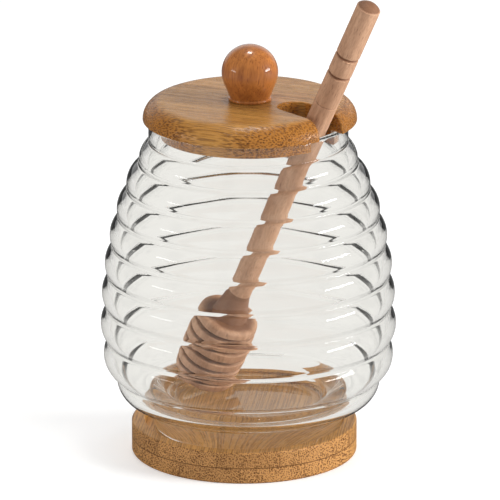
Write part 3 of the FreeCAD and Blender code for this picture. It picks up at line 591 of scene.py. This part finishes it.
class JAR_OT_knob(Operator):
    """Turned ball knob under gloss lacquer."""
    bl_idname = "honey_jar.knob"
    bl_label = "Knob"

    def execute(self, context):
        settings = context.scene.jar_knob
        finish = new_finish("knob_wood")
        low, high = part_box("knob")
        heart = (settings.heart_left - (low.x + high.x) / 2,
                 -settings.heart_behind - (low.y + high.y) / 2, 0.0)
        tree = finish.mapped(finish.place(), turn=(settings.lean_back, -settings.lean_right, 0.0),
                             shift=heart)

        # growth rings, pores and fine lines up the tree
        drift = finish.noise(finish.mapped(tree, (1.0, 1.0, 0.3)), 90.0)
        across, back, _ = finish.parts(tree)
        radius = finish.calc("MULTIPLY_ADD", drift, 0.0035, finish.reach(across, back))
        ring = finish.calc("PINGPONG", finish.calc("DIVIDE", radius, settings.ring), 0.5)
        late = finish.calc("MULTIPLY", finish.span(ring, 0.12, 0.48), 0.20)
        pore = finish.span(finish.cells(finish.mapped(tree, (1.0, 1.0, 0.14)), 1500.0), 0.36, 0.14)
        clouds = finish.noise(tree, 130.0, detail=3.0)
        lines = finish.noise(finish.mapped(tree, (1.0, 1.0, 0.05)), 1500.0)

        # painted shade: the knob's left side, nearest the rings' axis, is laid over with the summer
        # wood colour
        left_painted_shade = finish.span(radius, 0.040, 0.052, 0.40, 0.0)
        wood = finish.layered(settings.light, settings.dark, (
            late, left_painted_shade, finish.span(clouds, 0.35, 0.75, 0.0, 0.50),
            finish.span(lines, 0.40, 0.70, 0.0, 0.40), finish.calc("MULTIPLY", pore, 0.70)))
        smooth = finish.calc("SUBTRACT", 1.0, pore)
        shader = finish.add("ShaderNodeBsdfPrincipled", {
            "Base Color": wood, "Roughness": finish.span(clouds, 0.3, 0.7, 0.36, 0.5), "IOR": 1.5,
            "Coat Weight": 1.0, "Coat Roughness": settings.gloss, "Coat IOR": 1.5,
            "Normal": finish.bump(smooth, settings.pore_relief, 0.4)})
        dress("knob", finish.surface(shader))
        return {"FINISHED"}


class JAR_OT_dipper(Operator):
    """Sanded beech dipper, with its grain along the handle."""
    bl_idname = "honey_jar.dipper"
    bl_label = "Dipper"

    def painted_groove_shade(self, finish, along, settings):
        """Painted shade in the turned grooves and at the tip: darker wherever the wood lies inside
        the handle's or the head's outer radius.
        """
        across, back, up = finish.parts(along)
        radius = finish.reach(across, back)
        handle = finish.span(radius, 0.975 * settings.handle, 0.86 * settings.handle, 0.0, 0.75)
        head = finish.span(radius, 0.95 * settings.head, 0.74 * settings.head, 0.0, 0.75)
        plain = finish.calc("GREATER_THAN", up, settings.neck_height)
        return finish.add("ShaderNodeMix", {0: plain, 2: head, 3: handle}).outputs[0]

    def execute(self, context):
        settings = context.scene.jar_dipper
        finish = new_finish("dipper_wood")
        foot = (settings.foot_across, settings.foot_back, settings.foot_height)
        from_foot = finish.add("ShaderNodeVectorMath", {0: finish.place(), 1: foot},
                               operation="SUBTRACT").outputs[0]
        upright = finish.mapped(from_foot, turn=(0.0, 0.0, -settings.lean_towards))
        along = finish.mapped(upright, turn=(0.0, -settings.lean, 0.0))

        # short flecks, slow bands and fuzz along the grain
        flecks = finish.cells(finish.mapped(along, (1.0, 1.0, 1.0 / settings.fleck_stretch)),
                              1.0 / settings.fleck_width)
        here = finish.noise(finish.mapped(along, (1.0, 1.0, 0.4)), 420.0, detail=1.0)
        edge = finish.span(here, 0.35, 0.7, 0.06, 0.34)
        fleck = finish.span(flecks, finish.calc("MULTIPLY", edge, 0.5), edge)
        fleck = finish.calc("SUBTRACT", 1.0, fleck)
        bands = finish.noise(finish.mapped(along, (1.0, 1.0, 0.10)), 260.0, detail=3.0,
                             roughness=0.6)
        fuzz = finish.noise(finish.mapped(along, (1.0, 1.0, 0.25)), 2400.0)
        clouds = finish.noise(along, 70.0)

        wood = finish.layered(settings.light, settings.deep, (
            finish.span(bands, 0.34, 0.7), finish.span(clouds, 0.35, 0.7, 0.0, 0.35)))
        wood = finish.layered(wood, settings.fleck, (
            finish.span(fuzz, 0.4, 0.75, 0.0, 0.25), finish.calc("MULTIPLY", fleck, 0.55),
            # painted shade in the grooves, in the fleck colour
            self.painted_groove_shade(finish, along, settings)))
        relief = finish.calc("SUBTRACT", finish.calc("MULTIPLY", fuzz, 0.6), fleck)
        shader = finish.add("ShaderNodeBsdfPrincipled", {
            "Base Color": wood, "Roughness": finish.span(fuzz, 0.3, 0.7, 0.52, 0.68), "IOR": 1.42,
            "Normal": finish.bump(relief, settings.relief, 0.6)})
        dress("dipper", finish.surface(shader))
        return {"FINISHED"}


def arm_share(finish, vector, near, spread):
    """How white the surroundings are in a direction or at a place.

    White arms stand out from the jar. Half an arm's width is near at the jar's axis and grows
    by spread with the distance. The glass bends the grey between the arms into the lines that
    draw its edges."""
    across, back, _ = finish.parts(vector)
    half_step = math.pi / ARMS
    folded = finish.calc("PINGPONG", finish.calc("ARCTAN2", across, back), half_step)
    reach = finish.reach(across, back)
    aside = finish.calc("MULTIPLY", reach, finish.calc("SINE", folded))
    width = finish.calc("MULTIPLY_ADD", reach, spread, near)
    return finish.span(aside, width, finish.calc("MULTIPLY", width, ARM_EDGE), 1.0, 0.0)


class JAR_OT_studio(Operator):
    """Pale floor, even daylight, soft lamps and the camera."""
    bl_idname = "honey_jar.studio"
    bl_label = "Studio"

    def floor(self, settings):
        """A pale floor that keeps the object's shadow and shows white to the camera."""
        mesh = bmesh.new()
        bmesh.ops.create_grid(mesh, x_segments=1, y_segments=1, size=settings.floor_size / 2)
        floor = new_piece("studio_floor", mesh)
        finish = new_finish("studio_paper")
        rays = finish.add("ShaderNodeLightPath").outputs
        sheet = finish.blend(rays["Is Glossy Ray"], settings.paper, settings.gloss_paper)
        paper = finish.add("ShaderNodeBsdfDiffuse", {"Color": sheet})
        glow = finish.add("ShaderNodeEmission", {"Color": (1.0, 1.0, 1.0),
                                                 "Strength": settings.paper_glow})
        seen = finish.add("ShaderNodeAddShader", {0: paper.outputs[0], 1: glow.outputs[0]})
        white = arm_share(finish, finish.place(), settings.floor_arm, settings.floor_spread)
        tone = finish.blend(white, settings.flag, settings.backdrop)
        bent = finish.add("ShaderNodeEmission", {"Color": tone, "Strength": 1.0})

        # rays that come out of the glass, also after a reflection inside it
        deeper = finish.calc("GREATER_THAN", rays["Ray Depth"], 1.5)
        inner = finish.calc("MULTIPLY", rays["Is Glossy Ray"], deeper)
        glass_ray = finish.calc("MAXIMUM", rays["Is Transmission Ray"], inner)
        shown = finish.mix(rays["Is Camera Ray"], paper, seen)
        floor.data.materials.append(finish.surface(finish.mix(glass_ray, shown, bent)))

    def daylight(self, settings):
        """Even light from all round, white to the camera."""
        world = bpy.data.worlds.new("studio_daylight")
        bpy.context.scene.world = world
        finish = Finish(world, "ShaderNodeOutputWorld")
        rays = finish.add("ShaderNodeLightPath").outputs
        sky = finish.add("ShaderNodeTexCoord").outputs["Generated"]
        tone = finish.blend(arm_share(finish, sky, 0.0, settings.sky_spread), settings.flag,
                            settings.backdrop)
        white = (1.0, 1.0, 1.0)
        shown = finish.mix(rays["Is Camera Ray"], finish.glow(white, settings.daylight),
                           finish.glow(white, 1.0))

        # gloss mirrors a bright backdrop far behind the jar and a dim room in front of it
        behind = finish.span(finish.parts(sky)[1], 0.55, 0.95, 0.05, 0.75)
        shown = finish.mix(rays["Is Glossy Ray"], shown, finish.glow(white, behind))
        finish.surface(finish.mix(rays["Is Transmission Ray"], shown, finish.glow(tone, 1.0)))

    def lamp(self, name, strength, place, size, aim, mirrored=True):
        """A soft rectangular lamp that faces the jar and may stay out of reflections."""
        data = bpy.data.lights.new(name, "AREA")
        data.shape = "RECTANGLE"
        data.size, data.size_y = size
        data.energy = strength
        lamp = bpy.data.objects.new(name, data)
        lamp.location = place
        towards = Vector((0.0, 0.0, aim)) - Vector(place)
        lamp.rotation_euler = towards.to_track_quat("-Z", "Y").to_euler()
        lamp.visible_camera = False
        lamp.visible_glossy = mirrored
        lamp.visible_transmission = False
        bpy.context.scene.collection.objects.link(lamp)

    def camera(self, settings):
        """The camera, a little above the lid and looking down at the jar."""
        data = bpy.data.cameras.new("camera")
        data.sensor_width = 36.0
        data.lens = settings.camera_lens
        data.clip_end = 100.0
        camera = bpy.data.objects.new("camera", data)
        camera.location = (settings.camera_across, settings.camera_back, settings.camera_height)
        camera.rotation_euler = Euler((math.pi / 2 - settings.camera_pitch, 0.0, 0.0))
        bpy.context.scene.collection.objects.link(camera)
        bpy.context.scene.camera = camera

    def execute(self, context):
        settings = context.scene.jar_studio
        context.scene.view_settings.view_transform = "Standard"
        self.floor(settings)
        self.daylight(settings)
        for name, place, size, mirrored in (
                ("key_lamp", (1.15, -0.38, 0.48), (0.60, 0.60), False),
                ("soft_lamp", (-1.1, -0.6, 0.45), (0.60, 0.60), False),
                ("side_lamp", (1.15, -0.27, 0.32), (0.60, 0.12), True),
                ("fill_lamp", (-1.15, -0.40, 0.30), (0.45, 0.08), True),
                ("top_lamp", (0.0, 0.22, 1.25), (0.22, 0.22), True)):
            self.lamp(name, getattr(settings, name), place, size, settings.aim, mirrored)
        self.camera(settings)
        return {"FINISHED"}


class JAR_PT_panel(Panel):
    """Lists every finish of the honey jar."""
    bl_label = "Honey Jar"
    bl_idname = "JAR_PT_panel"
    bl_space_type = "VIEW_3D"
    bl_region_type = "UI"
    bl_category = "Honey Jar"

    def draw(self, context):
        for operator in OPERATORS:
            self.layout.operator(operator.bl_idname)
        for group in GROUPS:
            settings = getattr(context.scene, group)
            box = self.layout.box()
            box.label(text=group.replace("_", " "))
            for name in settings.__annotations__:
                box.prop(settings, name)


GROUPS = {"jar_glass": GlassSettings, "jar_bamboo": BambooSettings, "jar_knob": KnobSettings,
          "jar_dipper": DipperSettings, "jar_studio": StudioSettings}
OPERATORS = (JAR_OT_glass, JAR_OT_lid, JAR_OT_base, JAR_OT_knob, JAR_OT_dipper, JAR_OT_studio)
CLASSES = (*GROUPS.values(), *OPERATORS, JAR_PT_panel)


def register():
    """Add the classes and the settings."""
    for cls in CLASSES:
        bpy.utils.register_class(cls)
    for name, cls in GROUPS.items():
        setattr(bpy.types.Scene, name, PointerProperty(type=cls))


def unregister():
    """Remove the settings and the classes."""
    for name in GROUPS:
        delattr(bpy.types.Scene, name)
    for cls in reversed(CLASSES):
        bpy.utils.unregister_class(cls)


def main():
    """Finish every piece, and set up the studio."""
    register()
    bpy.ops.honey_jar.glass()
    bpy.ops.honey_jar.lid()
    bpy.ops.honey_jar.base()
    bpy.ops.honey_jar.knob()
    bpy.ops.honey_jar.dipper()
    bpy.ops.honey_jar.studio()


if __name__ == "__main__":
    main()
